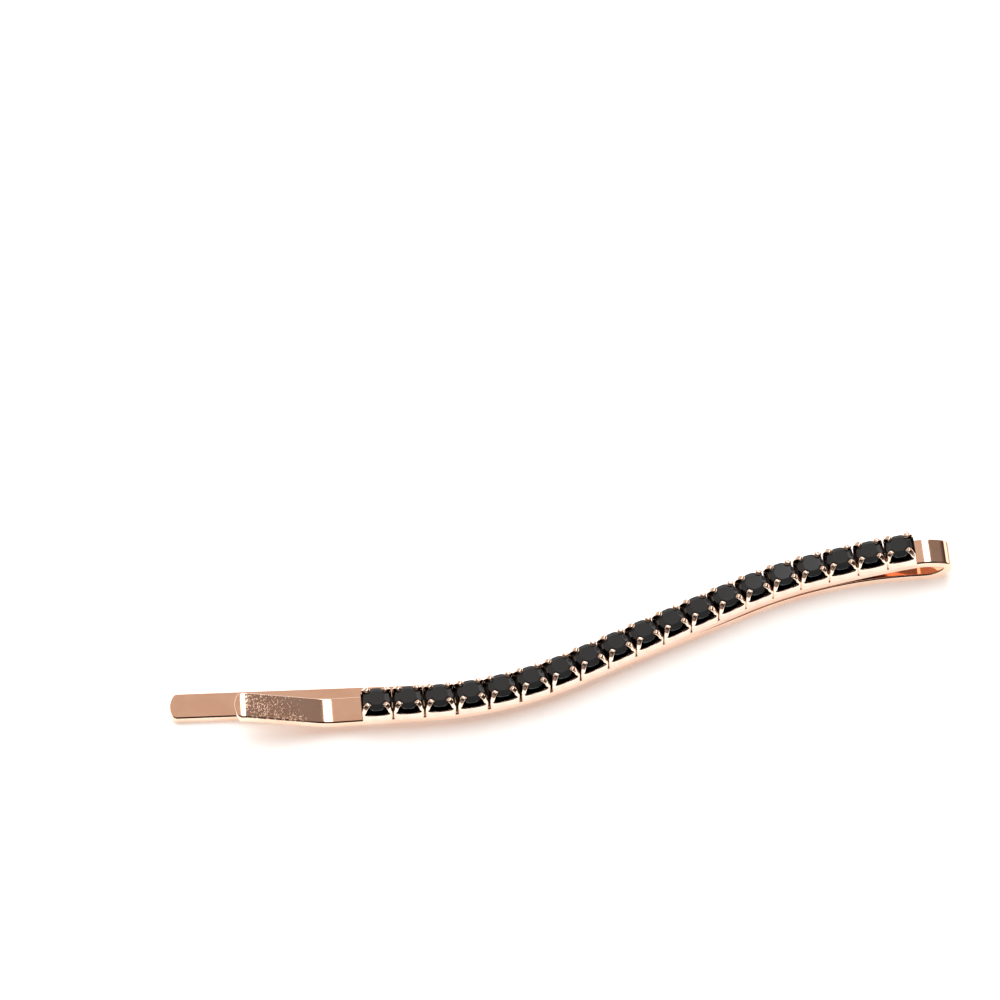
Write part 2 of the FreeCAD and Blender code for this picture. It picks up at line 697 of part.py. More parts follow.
def plan_place(distance):
    """Point and heading on the wave, a distance back from the zero point."""
    point, heading, rest = Vector(), 0, distance
    stretches = (("bow_run", 1, "bow_bend_radius"), ("mid_run", -1, "tip_bend_radius"))
    for run, turn, bend in stretches:
        straight = min(rest, size(run))
        point -= along(heading) * straight
        rest -= straight
        radius = size(bend)
        swept = min(math.degrees(rest / radius), size("wave_angle"))
        point += (across(heading + turn * swept) - across(heading)) * turn * radius
        heading += turn * swept
        rest -= radius * math.radians(swept)
    return point - along(heading) * rest, heading


def seat_height(x):
    """Height of the bond's top face over a place on the X axis."""
    rise = math.radians(size("rise_angle"))
    radius = size("bond_radius") - size("bond_half")
    step = x + size("rise_start")
    if step <= 0:
        return size("flat_centre") + size("rise_radius") - radius
    bent = min(step, radius * math.sin(rise))
    height = size("flat_centre") + size("rise_radius") - math.sqrt(radius ** 2 - bent ** 2)
    return height + (step - bent) * math.tan(rise)


def chain_seats():
    """Placements of the cups from the tip end to the bow, each on the chord under it."""
    half = size("cup_side") / 2
    slope = math.radians(size("rise_angle"))
    distance = size("slope_end") + (size("chain_margin") + half) * math.cos(slope)
    seats = []
    for _ in range(round(size("stone_count"))):
        point, heading = plan_place(distance)
        turn = math.radians(heading)
        reach = half * (math.cos(turn) + math.sin(turn))
        low, high = seat_height(point.x - reach), seat_height(point.x + reach)
        pitch_angle = math.atan2(high - low, 2 * reach)
        point.z = (low + high) / 2
        tilt = Rotation(Vector(0, 1, 0), -math.degrees(pitch_angle))
        seats.insert(0, Placement(point, tilt * Rotation(Vector(0, 0, 1), heading)))
        distance += size("pitch") * math.cos(pitch_angle)
    return seats


def build_all():
    """Every sub-part, in place along the strip."""
    parts = [build_lower_arm(), build_bow(), build_upper_arm(), build_bond()]
    seats = chain_seats()
    for number, seat in enumerate(seats, 1):
        for build, kind in ((build_cup, "cup"), (build_stone, "stone")):
            body = build("%s_%02d" % (kind, number))
            body.Placement = seat
            parts.append(body)
    parts.append(build_links(seats))
    doc.recompute()
    return parts


def shift_to_footprint(parts):
    """Move everything so that the origin is the middle of the underside."""
    box = Part.makeCompound([part.Shape for part in parts]).optimalBoundingBox()
    shift = Placement(Vector(-box.Center.x, -box.Center.y, -box.ZMin), Rotation())
    for part in parts:
        part.Placement = shift * part.Placement
    doc.recompute()


def check(parts):
    """Stop unless every object and every sub-part is sound."""
    for item in doc.Objects:
        if "Invalid" in item.State or "Error" in item.State:
            raise RuntimeError("failed object: " + item.Name)
    for part in parts:
        if part.Shape.isNull() or not part.Shape.isValid():
            raise RuntimeError("bad shape: " + part.Label)


def main():
    parts = build_all()
    shift_to_footprint(parts)
    check(parts)
    os.makedirs("parts", exist_ok=True)
    for part in parts:
        part.Shape.exportStep("parts/%s.step" % part.Label)


main()
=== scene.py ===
import math

import bmesh
import bpy
import numpy as np
from mathutils import Matrix, Vector


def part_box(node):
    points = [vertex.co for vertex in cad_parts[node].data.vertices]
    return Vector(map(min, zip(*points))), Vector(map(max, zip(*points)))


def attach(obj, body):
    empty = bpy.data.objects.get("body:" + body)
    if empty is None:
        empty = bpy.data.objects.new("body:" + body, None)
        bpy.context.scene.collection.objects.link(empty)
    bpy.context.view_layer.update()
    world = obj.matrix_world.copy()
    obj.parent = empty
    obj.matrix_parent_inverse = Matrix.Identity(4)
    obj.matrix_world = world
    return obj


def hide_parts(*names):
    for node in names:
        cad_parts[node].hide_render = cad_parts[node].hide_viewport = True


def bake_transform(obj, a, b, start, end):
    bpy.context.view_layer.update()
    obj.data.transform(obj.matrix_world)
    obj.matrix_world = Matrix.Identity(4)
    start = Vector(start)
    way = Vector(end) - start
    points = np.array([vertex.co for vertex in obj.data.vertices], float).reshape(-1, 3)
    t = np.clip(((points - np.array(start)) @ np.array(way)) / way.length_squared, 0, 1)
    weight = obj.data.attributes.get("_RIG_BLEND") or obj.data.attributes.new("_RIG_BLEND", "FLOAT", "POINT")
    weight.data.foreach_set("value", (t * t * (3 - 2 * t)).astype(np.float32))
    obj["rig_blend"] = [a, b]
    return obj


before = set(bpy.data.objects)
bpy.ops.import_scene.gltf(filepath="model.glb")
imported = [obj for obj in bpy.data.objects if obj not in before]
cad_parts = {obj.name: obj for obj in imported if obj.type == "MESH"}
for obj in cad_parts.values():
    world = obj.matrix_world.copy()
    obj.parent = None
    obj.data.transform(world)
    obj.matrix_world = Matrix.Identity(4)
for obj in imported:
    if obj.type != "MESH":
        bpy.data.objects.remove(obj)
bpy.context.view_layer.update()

# A decorated bobby pin on a pale floor: a polished rose-gold strip folded into two arms, and
# a chain of nineteen prong-set black stones along the upper arm. Metres, +Z up, X from the
# open tips towards the folded bow.

MM = 0.001
QUARTER = math.pi / 2

# Strip, seen in section and at its tips
BOW_LOW, BOW_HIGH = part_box("bow")
ARM_LOW, ARM_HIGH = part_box("lower_arm")
HALF_WIDTH = (BOW_HIGH.y - BOW_LOW.y) / 2
HALF_THICKNESS = (ARM_HIGH.z - ARM_LOW.z) / 2
EDGE_ROUND = 0.18 * MM
EDGE_STEPS = 6
FLAT_MARGIN = 0.03 * MM
TIP_END_RADIUS = 2.2 * MM
TIP_CORNER_RADIUS = 0.45 * MM
TIP_STEPS = 10
STATION_STEP = 0.18 * MM

# Wave of the strip, seen from above, with its zero point where the lower arm meets the bow
ZERO = Vector((ARM_HIGH.x, (BOW_LOW.y + BOW_HIGH.y) / 2, ARM_LOW.z))
WAVE_ANGLE = math.radians(23)
FAN_ANGLE = math.radians(1.8)
BOW_RUN = 1.2 * MM
BOW_BEND_RADIUS = 42 * MM
MID_RUN = 16.114 * MM
TIP_BEND_RADIUS = 34 * MM
UPPER_TIP_RUN = 16.75 * MM
LOWER_TIP_RUN = 23.5 * MM

# Upper arm, seen from the side
ARM_GAP = 0.12 * MM
RISE_ANGLE = math.radians(10.5)
RISE_RADIUS = 40 * MM
CREASE_ANGLE = math.radians(15)
CREASE_RADIUS = 8 * MM
RAMP_RUN = 7.45 * MM
ROLL_RUN = 7.1 * MM
ROLL_ANGLE = math.radians(16)
ROLL_RADIUS = 4 * MM

# Folded bow, seen from the side, and how far under the upper arm's middle its bending ends
BOW_LOWER_RADIUS = 2.75 * MM
BOW_LOWER_ANGLE = math.radians(44.5)
BOW_FOLD_RADIUS = 0.565 * MM
BOW_TOP_RADIUS = 5.5 * MM
BOW_TOP_ANGLE = math.radians(18)
BOW_NECK_RADIUS = 4 * MM
BOW_STEP = math.radians(2)
BEND_DROP = 1.1 * HALF_THICKNESS

# Stamped cup, from the middle of its seat: its ends face the next cups, its sides the strip's edges
STONE_COUNT = 19
CORNERS = 4
CUP_HALF_LENGTH = 1.38 * MM
CUP_HALF_WIDTH = 1.36 * MM
CUP_CORNER = 0.14 * MM
CUP_WALL = 0.18 * MM
CUP_DRAFT = 0.02 * MM
CUP_FLOOR = 0.3 * MM
CUP_COVE = 0.2 * MM
CUP_SIDE_HEIGHT = 0.62 * MM
CUP_END_HEIGHT = 0.42 * MM
CORNER_HEIGHT = 0.92 * MM
CUP_SKIRT = 0.2 * MM
CUP_SOFT = 0.05 * MM
RIM_SOFT = 0.4 * CUP_SOFT
CUP_LIP = 0.03 * MM
LIP_SOFT = 0.2 * CUP_LIP
SEAT_EDGE = 0.09 * MM
SEAT_INSET = 0.3 * MM
CUP_SUBDIVISION = 2
CUP_SIDE_STEPS = (
    # place along a side, and share of the rise of its rim towards the corner
    (-1, 1), (-0.88, 0.3), (-0.4, 0), (0.4, 0), (0.88, 0.3), (1, 1),
)
CUP_RINGS = (
    # inset from the outside, height, and what the height starts from
    (SEAT_INSET, 0, "seat"),
    (SEAT_EDGE, 0, "seat"),
    (CUP_LIP, 0, "skirt"),
    (LIP_SOFT, 0, "skirt"),
    (0, CUP_SOFT, "skirt"),
    (0, -CUP_SOFT, "rim"),
    (RIM_SOFT, 0, "rim"),
    (CUP_WALL - RIM_SOFT, 0, "rim"),
    (CUP_WALL, -CUP_SOFT, "rim"),
    (CUP_WALL + CUP_DRAFT, CUP_FLOOR + CUP_SOFT, "seat"),
    (CUP_WALL + CUP_COVE, CUP_FLOOR, "seat"),
)
RIM_OUTER = CUP_RINGS.index((RIM_SOFT, 0, "rim"))

# Prong, from the rim to its tip over the stone, and how crisp its edges stay
PRONG_CREASE = 0.55
PRONG_STATIONS = (
    # distance from the cup's middle, height, width and thickness
    (1.64 * MM, 1.0 * MM, 0.42 * MM, 0.24 * MM),
    (1.55 * MM, 1.18 * MM, 0.42 * MM, 0.24 * MM),
    (1.44 * MM, 1.4 * MM, 0.42 * MM, 0.24 * MM),
    (1.26 * MM, 1.6 * MM, 0.46 * MM, 0.26 * MM),
    (1.02 * MM, 1.58 * MM, 0.46 * MM, 0.26 * MM),
    (0.9 * MM, 1.47 * MM, 0.4 * MM, 0.2 * MM),
)


# Paths of the strip


def along(heading):
    """Unit vector of a heading in the plan."""
    return Vector((math.cos(heading), math.sin(heading)))


def across(heading):
    """Unit vector to the left of a heading in the plan."""
    return Vector((-math.sin(heading), math.cos(heading)))


def wave_place(distance, fan):
    """Point and heading on the wave, a distance from the bow towards the tip."""
    point, heading, rest = Vector((0, 0)), 0.0, distance
    stretches = (
        (BOW_RUN, WAVE_ANGLE - fan, BOW_BEND_RADIUS),
        (MID_RUN, -WAVE_ANGLE, TIP_BEND_RADIUS),
    )
    for run, sweep, radius in stretches:
        straight = min(rest, run)
        point -= along(heading) * straight
        rest -= straight
        side = math.copysign(1, sweep)
        turn = side * min(rest / radius, abs(sweep))
        point += (across(heading + turn) - across(heading)) * side * radius
        heading += turn
        rest -= radius * abs(turn)
    return point - along(heading) * rest, heading


def wave_length(fan, tip_run):
    """Distance along the wave to the start of the rounded tip."""
    bends = BOW_BEND_RADIUS * (WAVE_ANGLE - fan) + TIP_BEND_RADIUS * WAVE_ANGLE
    return BOW_RUN + bends + MID_RUN + tip_run


LOWER_LENGTH = wave_length(FAN_ANGLE, LOWER_TIP_RUN)
UPPER_LENGTH = wave_length(0, UPPER_TIP_RUN)
TIP_SAG = TIP_END_RADIUS - math.sqrt(TIP_END_RADIUS ** 2 - HALF_WIDTH ** 2)
FLAT_CENTRE = 3 * HALF_THICKNESS + ARM_GAP
BOW_LOWER = Vector((0, HALF_THICKNESS + BOW_LOWER_RADIUS))
BOW_FOLD = BOW_LOWER - across(BOW_LOWER_ANGLE) * (BOW_LOWER_RADIUS - BOW_FOLD_RADIUS)
BOW_TOP = BOW_FOLD + across(math.pi - BOW_TOP_ANGLE) * (BOW_TOP_RADIUS - BOW_FOLD_RADIUS)
BOW_NECK = BOW_TOP + Vector((0, BOW_TOP_RADIUS - BOW_NECK_RADIUS))
SLOPE_START = BOW_NECK_RADIUS * math.sin(RISE_ANGLE) - BOW_NECK.x
SLOPE_TOP = BOW_NECK.y + BOW_NECK_RADIUS * math.cos(RISE_ANGLE)
RISE_HEIGHT = RISE_RADIUS * (1 - math.cos(RISE_ANGLE))
SLOPE_RUN = (SLOPE_TOP - FLAT_CENTRE - RISE_HEIGHT) / math.tan(RISE_ANGLE)
RISE_END = SLOPE_START + SLOPE_RUN + RISE_RADIUS * math.sin(RISE_ANGLE)
UPPER_END = -wave_place(UPPER_LENGTH, 0)[0].x
CREASE_TANGENT = CREASE_RADIUS * math.tan(CREASE_ANGLE / 2)
ROLL_TANGENT = ROLL_RADIUS * math.tan(ROLL_ANGLE / 2)
CREASE_START = UPPER_END - RAMP_RUN - CREASE_TANGENT
CREASE_END = CREASE_START + CREASE_RADIUS * math.sin(CREASE_ANGLE)
RAMP_STRAIGHT = ROLL_RUN - (CREASE_TANGENT + ROLL_TANGENT) * math.cos(CREASE_ANGLE)
ARM_BENDS = (
    # level run before a bend, tilt after it, and its radius
    (SLOPE_RUN, 0, RISE_RADIUS),
    (CREASE_START - RISE_END, CREASE_ANGLE, CREASE_RADIUS),
    (RAMP_STRAIGHT, CREASE_ANGLE - ROLL_ANGLE, ROLL_RADIUS),
)


def arm_profile(travel):
    """Height and tilt of the upper arm's middle, a level distance from its bow end."""
    height, tilt, rest = SLOPE_TOP, -RISE_ANGLE, travel
    for run, next_tilt, radius in ARM_BENDS:
        straight = min(rest, run)
        height += straight * math.tan(tilt)
        rest -= straight
        side = math.copysign(1, next_tilt - tilt)
        bent = min(rest, radius * abs(math.sin(next_tilt) - math.sin(tilt)))
        turned = math.asin(math.sin(tilt) + side * bent / radius)
        height += side * radius * (math.cos(tilt) - math.cos(turned))
        tilt = turned
        rest -= bent
    return height + rest * math.tan(tilt), tilt


def place_lower(distance, offset, lift):
    """A point of the lower arm: along the wave, across it and above its middle."""
    point, heading = wave_place(distance, FAN_ANGLE)
    point += across(heading) * offset
    return ZERO + Vector((point.x, point.y, HALF_THICKNESS + lift))


def place_upper(distance, offset, lift):
    """A point of the upper arm: along the wave, across it and above its middle."""
    point, heading = wave_place(distance, 0)
    point += across(heading) * offset
    height, tilt = arm_profile(-point.x - SLOPE_START)
    return ZERO + Vector((point.x + lift * math.sin(tilt), point.y, height + lift * math.cos(tilt)))


# Meshes


def bridge(shape, first, second):
    """Faces between two closed loops of the same length."""
    for step in range(len(first)):
        shape.faces.new((first[step - 1], first[step], second[step], second[step - 1]))


def finish_mesh(name, shape, flat_faces=()):
    """A smooth mesh from a bmesh, with crisp borders round the given faces."""
    bmesh.ops.recalc_face_normals(shape, faces=shape.faces)
    for face in shape.faces:
        face.smooth = True
    for face in flat_faces:
        for edge in face.edges:
            edge.smooth = False
    mesh = bpy.data.meshes.new(name)
    shape.to_mesh(mesh)
    shape.free()
    return mesh


def section_levels():
    """Inset from the strip's outline and height over its middle, round one edge from top to bottom."""
    turns = [QUARTER * step / EDGE_STEPS for step in range(EDGE_STEPS + 1)]
    levels = [(EDGE_ROUND * (1 - math.sin(turn)), HALF_THICKNESS - EDGE_ROUND * (1 - math.cos(turn)))
              for turn in turns]
    levels.insert(0, (EDGE_ROUND + FLAT_MARGIN, HALF_THICKNESS))
    return levels + [(inset, -height) for inset, height in reversed(levels)]


def tip_outline(start, stop, inset):
    """Half of an arm's outline, from its bow end along one side to the middle of its tip."""
    end_centre = stop - math.sqrt(TIP_END_RADIUS ** 2 - HALF_WIDTH ** 2)
    corner_side = HALF_WIDTH - TIP_CORNER_RADIUS
    corner_reach = math.sqrt((TIP_END_RADIUS - TIP_CORNER_RADIUS) ** 2 - corner_side ** 2)
    corner_turn = math.atan2(corner_side, corner_reach)
    side_end = end_centre + corner_reach
    count = math.ceil((side_end - start) / STATION_STEP)
    half = [(start + (side_end - start) * step / count, HALF_WIDTH - inset) for step in range(count)]
    for step in range(TIP_STEPS):
        turn = QUARTER + (corner_turn - QUARTER) * step / TIP_STEPS
        radius = TIP_CORNER_RADIUS - inset
        half.append((side_end + radius * math.cos(turn), corner_side + radius * math.sin(turn)))
    for step in range(TIP_STEPS + 1):
        turn = corner_turn * (1 - step / TIP_STEPS)
        radius = TIP_END_RADIUS - inset
        half.append((end_centre + radius * math.cos(turn), radius * math.sin(turn)))
    return half


def arm_mesh(name, start, stop, place):
    """An arm with rounded edges and a rounded tip, square where it meets the bow."""
    shape = bmesh.new()
    rings = []
    for inset, lift in section_levels():
        half = tip_outline(start, stop, inset)
        outline = half + [(distance, -offset) for distance, offset in reversed(half[:-1])]
        rings.append([shape.verts.new(place(distance, offset, lift)) for distance, offset in outline])
    for upper, lower in zip(rings, rings[1:]):
        for step in range(len(upper) - 1):
            shape.faces.new((upper[step], upper[step + 1], lower[step + 1], lower[step]))
    for ring in (rings[0], rings[-1]):
        for step in range(len(ring) // 2):
            corners = (ring[step], ring[step + 1], ring[-2 - step], ring[-1 - step])
            # at the middle of the tip two corners are the same point, which counts once
            shape.faces.new(list(dict.fromkeys(corners)))
    near = [ring[0] for ring in rings]
    far = [ring[-1] for ring in reversed(rings)]
    cap = shape.faces.new(near + far)
    return finish_mesh(name, shape, [cap])


def bow_path():
    """Centre, radius, and first and last heading of the four bends of the bow, in the XZ plane."""
    turned = math.pi - BOW_TOP_ANGLE
    return (
        (BOW_LOWER, BOW_LOWER_RADIUS, 0, BOW_LOWER_ANGLE),
        (BOW_FOLD, BOW_FOLD_RADIUS, BOW_LOWER_ANGLE, turned),
        (BOW_TOP, BOW_TOP_RADIUS, turned, math.pi),
        (BOW_NECK, BOW_NECK_RADIUS, math.pi, math.pi + RISE_ANGLE),
    )


def bow_stations():
    """Points and headings along the bow, from the lower arm to the upper arm."""
    stations = []
    for centre, radius, first, last in bow_path():
        count = math.ceil((last - first) / BOW_STEP)
        for step in range(count + 1):
            heading = first + (last - first) * step / count
            if step or not stations:
                stations.append((centre - across(heading) * radius, heading))
    return stations


def bow_mesh(name):
    """The folded end of the strip, with rounded edges and square ends."""
    shape = bmesh.new()
    levels = section_levels()
    section = [(HALF_WIDTH - inset, lift) for inset, lift in levels]
    section += [(inset - HALF_WIDTH, lift) for inset, lift in reversed(levels)]
    loops = []
    for point, heading in bow_stations():
        loop = []
        for offset, lift in section:
            spot = point + across(heading) * lift
            loop.append(shape.verts.new(ZERO + Vector((spot.x, offset, spot.y))))
        loops.append(loop)
    for first, second in zip(loops, loops[1:]):
        bridge(shape, first, second)
    caps = [shape.faces.new(loop) for loop in (loops[0], loops[-1])]
    return finish_mesh(name, shape, caps)


def cup_ring(shape, inset, height, origin):
    """One loop of the cup's cage: its ends and sides in turn, the sides with a skirt."""
    ring = []
    for wall in range(CORNERS):
        turn = Matrix.Rotation(wall * QUARTER, 3, "Z")
        is_side = wall % 2 == 1
        reach, length = CUP_HALF_LENGTH, CUP_HALF_WIDTH
        skirt, rim = 0, CUP_END_HEIGHT
        if is_side:
            reach, length = CUP_HALF_WIDTH, CUP_HALF_LENGTH
            skirt, rim = -CUP_SKIRT, CUP_SIDE_HEIGHT
        straight = length - CUP_CORNER - inset * (math.sqrt(2) - 1)
        for share, rise in CUP_SIDE_STEPS:
            starts = {"seat": 0, "skirt": skirt, "rim": rim + rise * (CORNER_HEIGHT - rim)}
            spot = Vector((reach - inset, share * straight, starts[origin] + height))
            ring.append(shape.verts.new(turn @ spot))
    return ring


def prong_loop(shape, corner, station, tilt):
    """One loop of a prong's cage, square to its path: two outer points, then two inner ones."""
    reach, height, width, thickness = station
    out = Vector((math.cos(tilt), 0, math.sin(tilt)))
    turn = Matrix.Rotation((corner + 0.5) * QUARTER, 3, "Z")
    points = []
    for depth, side in ((1, -1), (1, 1), (-1, 1), (-1, -1)):
        spot = Vector((reach, side * width / 2, height)) + out * (depth * thickness / 2)
        points.append(shape.verts.new(turn @ spot))
    return points


def add_prong(shape, corner, root):
    """A finger that grows out of the rim at a corner and bends over the stone."""
    loops = [root]
    for step, station in enumerate(PRONG_STATIONS):
        before = PRONG_STATIONS[max(step - 1, 0)]
        after = PRONG_STATIONS[min(step + 1, len(PRONG_STATIONS) - 1)]
        tilt = math.atan2(before[0] - after[0], after[1] - before[1])
        loops.append(prong_loop(shape, corner, station, tilt))
    crisp = shape.edges.layers.float["crease_edge"]
    for first, second in zip(loops, loops[1:]):
        bridge(shape, first, second)
        for start, stop in zip(first, second):
            shape.edges.get((start, stop))[crisp] = PRONG_CREASE
    shape.faces.new(loops[-1])


def cup_cage():
    """The cage of a cup: floor, walls with a scooped rim, and a prong at each corner."""
    shape = bmesh.new()
    shape.edges.layers.float.new("crease_edge")
    rings = [cup_ring(shape, *ring) for ring in CUP_RINGS]
    rim_outer, rim_inner = rings[RIM_OUTER:RIM_OUTER + 2]
    count = len(rim_outer)
    points = len(CUP_SIDE_STEPS)
    for outer, inner in zip(rings, rings[1:]):
        for step in range(count):
            # the rim stays open at its corners, where the prongs grow out of it
            if outer is rim_outer and step % points == 0:
                continue
            shape.faces.new((outer[step - 1], outer[step], inner[step], inner[step - 1]))
    shape.faces.new(rings[0])
    shape.faces.new(rings[-1])
    for corner in range(CORNERS):
        last = corner * points + points - 1
        following = (last + 1) % count
        root = (rim_outer[last], rim_outer[following], rim_inner[following], rim_inner[last])
        add_prong(shape, corner, root)
    return shape


def cup_mesh(name):
    """The cup with its cage rounded off by subdivision."""
    cage = finish_mesh(name + "_cage", cup_cage())
    holder = bpy.data.objects.new(name + "_cage", cage)
    bpy.context.scene.collection.objects.link(holder)
    rounding = holder.modifiers.new("rounding", "SUBSURF")
    rounding.levels = CUP_SUBDIVISION
    depsgraph = bpy.context.evaluated_depsgraph_get()
    mesh = bpy.data.meshes.new_from_object(holder.evaluated_get(depsgraph))
    mesh.name = name
    bpy.data.objects.remove(holder)
    bpy.data.meshes.remove(cage)
    return mesh


def seat_of(node):
    """Placement of a cup, from the spread of its points: widest along the chain, least in height."""
    points = np.array([vertex.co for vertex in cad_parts[node].data.vertices])
    middle = points.mean(axis=0)
    axes = np.linalg.eigh(np.cov((points - middle).T))[1]
    ahead = axes[:, 2] * np.sign(axes[0, 2])
    upward = axes[:, 0] * np.sign(axes[2, 0])
    turn = np.column_stack((ahead, np.cross(upward, ahead), upward))
    local = (points - middle) @ turn
    base = (local.min(axis=0) + local.max(axis=0)) / 2
    base[2] = local[:, 2].min()
    seat = Matrix(turn.tolist()).to_4x4()
    seat.translation = Vector(middle + turn @ base)
    return seat


# Finishes

# Colours
STRIP_DEEP = (0.88, 0.56, 0.41, 1)
STRIP_PALE = (0.93, 0.63, 0.48, 1)
CUP_DEEP = (0.92, 0.66, 0.52, 1)
CUP_PALE = (0.95, 0.74, 0.61, 1)
# painted shade: the colour a cup takes in its recess, where shade falls between the stones
PAINTED_RECESS_SHADE = (0.03, 0.024, 0.02, 1)
GLASS_BLACK = (0.028, 0.0285, 0.029, 1)
GLASS_DUST = (0.14, 0.13, 0.12, 1)
BOND_DEEP = (0.05, 0.036, 0.028, 1)
BOND_PALE = (0.09, 0.066, 0.05, 1)

# Noise: its scale, in waves per metre, and its detail
STRIP_CLOUDS = (350, 4)
STRIP_LINES = (1500, 5)
LINE_STRETCH = (0.12, 4, 4)
RAMP_SPECKLES = (4400, 3)
CUP_CLOUDS = (900, 4)
CUP_GRAIN = (4000, 3)
GLASS_SPECKS = (9000, 2)
GLASS_SMEARS = (700, 4)
BOND_WAVES = (1200, 3)

# Spans of the noise that a finish uses
CLOUD_SPAN = (0.3, 0.7)
LINE_SPAN = (0.25, 0.75)
SPECKLE_SPAN = (0.54, 0.64)
SPECK_SPAN = (0.74, 0.8)
WAVE_SPAN = (0.2, 0.8)

# Gloss, and the depth and strength of bumps
STRIP_ROUGHNESS = (0.04, 0.1)
CUP_ROUGHNESS = (0.06, 0.13)
GLASS_ROUGHNESS = (0.02, 0.06)
BOND_ROUGHNESS = (0.15, 0.35)
SPECKLE_ROUGHNESS = 0.12
GLASS_IOR = 1.52
GLASS_GLOSS = 0.2
LINE_BUMP = (0.002 * MM, 0.3)
SPECKLE_BUMP = (0.03 * MM, 0.6)
CUP_BUMP = (0.02 * MM, 0.3)
BOND_BUMP = (0.02 * MM, 0.4)

# Speckled ramp: where the speckles begin and are full, from the crease, the tip and the front edge
SPECKLE_DELAY = 2 * MM
SPECKLE_SHARES = (0.2, 1)
CREASE_FADE = (0.2 * MM, -1.4 * MM)
TIP_FADE = (0.9 * MM, 1.5 * MM)
EDGE_FADE = (0.9 * MM, 0.3 * MM)

# Painted shade in the recess of a cup: where it begins and is full, in height and from the middle to the
# sides
RECESS_TOP = (0.7 * MM, 0.6 * MM)
RECESS_BASE = (0.1 * MM, 0.2 * MM)
RECESS_SIDE = (1.14 * MM, 1.06 * MM)

# Sockets of a mix node for colours, whose names aren't unique
MIX_FIRST = 6
MIX_SECOND = 7
MIX_RESULT = 2


def set_inputs(tree, node, inputs):
    """Set a node's inputs to values, or link them to other nodes' outputs."""
    for key, value in inputs.items():
        if isinstance(value, bpy.types.NodeSocket):
            tree.links.new(value, node.inputs[key])
        else:
            node.inputs[key].default_value = value


def add_node(tree, kind, inputs, **props):
    """A shader node with its properties and inputs set."""
    node = tree.nodes.new(kind)
    for prop, value in props.items():
        setattr(node, prop, value)
    set_inputs(tree, node, inputs)
    return node


def start_material(name):
    """A node material, its tree, its main shader and its object coordinates."""
    material = bpy.data.materials.new(name)
    material.use_nodes = True
    tree = material.node_tree
    shader = tree.nodes["Principled BSDF"]
    coords = tree.nodes.new("ShaderNodeTexCoord").outputs["Object"]
    return material, tree, shader, coords


def add_split(tree, vector):
    """The three parts of a vector."""
    return add_node(tree, "ShaderNodeSeparateXYZ", {"Vector": vector}).outputs


def add_noise(tree, coords, noise, stretch=(1, 1, 1)):
    """Noise over the surface, as a value from 0 to 1."""
    scale, detail = noise
    mapped = add_node(tree, "ShaderNodeMapping", {"Vector": coords, "Scale": stretch})
    inputs = {"Vector": mapped.outputs["Vector"], "Scale": scale, "Detail": detail}
    return add_node(tree, "ShaderNodeTexNoise", inputs).outputs["Fac"]


def add_range(tree, value, span, result=(0, 1)):
    """A value moved from one span to another, eased at both ends."""
    inputs = {"Value": value, "From Min": span[0], "From Max": span[1],
              "To Min": result[0], "To Max": result[1]}
    return add_node(tree, "ShaderNodeMapRange", inputs, interpolation_type="SMOOTHSTEP").outputs["Result"]


def add_mix(tree, factor, first, second):
    """A colour between two colours."""
    inputs = {"Factor": factor, MIX_FIRST: first, MIX_SECOND: second}
    return add_node(tree, "ShaderNodeMix", inputs, data_type="RGBA").outputs[MIX_RESULT]


def add_math(tree, operation, *values):
    """One value changed, or two put together."""
    return add_node(tree, "ShaderNodeMath", dict(enumerate(values)), operation=operation).outputs[0]


def add_bump(tree, height, bump, under=None):
    """A bumped normal, over another one if given."""
    distance, strength = bump
    inputs = {"Height": height, "Distance": distance, "Strength": strength}
    if under:
        inputs["Normal"] = under
    return add_node(tree, "ShaderNodeBump", inputs).outputs["Normal"]


def shift(span, start):
    """A span measured from a place."""
    return start + span[0], start + span[1]


def add_speckles(tree, coords, crease, tip, edge):
    """Speckles of the ramp, as a value from 0 to 1: most towards its tip and along its front edge."""
    place = add_split(tree, coords)
    share = add_range(tree, place["X"], (crease - SPECKLE_DELAY, tip), SPECKLE_SHARES)
    brim = add_range(tree, place["Y"], shift(EDGE_FADE, edge))
    share = add_math(tree, "MAXIMUM", share, brim)
    for span in (shift(CREASE_FADE, crease), shift(TIP_FADE, tip)):
        share = add_math(tree, "MULTIPLY", share, add_range(tree, place["X"], span))
    speckles = add_range(tree, add_noise(tree, coords, RAMP_SPECKLES), SPECKLE_SPAN)
    return add_math(tree, "MULTIPLY", speckles, share)


def strip_material(name, ramp=None):
    """Polished rose-gold plating with faint drawing lines, and speckles if a ramp is given."""
    material, tree, shader, coords = start_material(name)
    clouds = add_range(tree, add_noise(tree, coords, STRIP_CLOUDS), CLOUD_SPAN)
    lines = add_noise(tree, coords, STRIP_LINES, LINE_STRETCH)
    roughness = add_range(tree, lines, LINE_SPAN, STRIP_ROUGHNESS)
    normal = add_bump(tree, lines, LINE_BUMP)
    if ramp:
        speckles = add_speckles(tree, coords, *ramp)
        dulled = add_math(tree, "MULTIPLY", speckles, SPECKLE_ROUGHNESS)
        roughness = add_math(tree, "ADD", roughness, dulled)
        normal = add_bump(tree, speckles, SPECKLE_BUMP, normal)
    set_inputs(tree, shader, {
        "Base Color": add_mix(tree, clouds, STRIP_DEEP, STRIP_PALE),
        "Metallic": 1,
        "Roughness": roughness,
        "Normal": normal,
    })
    return material


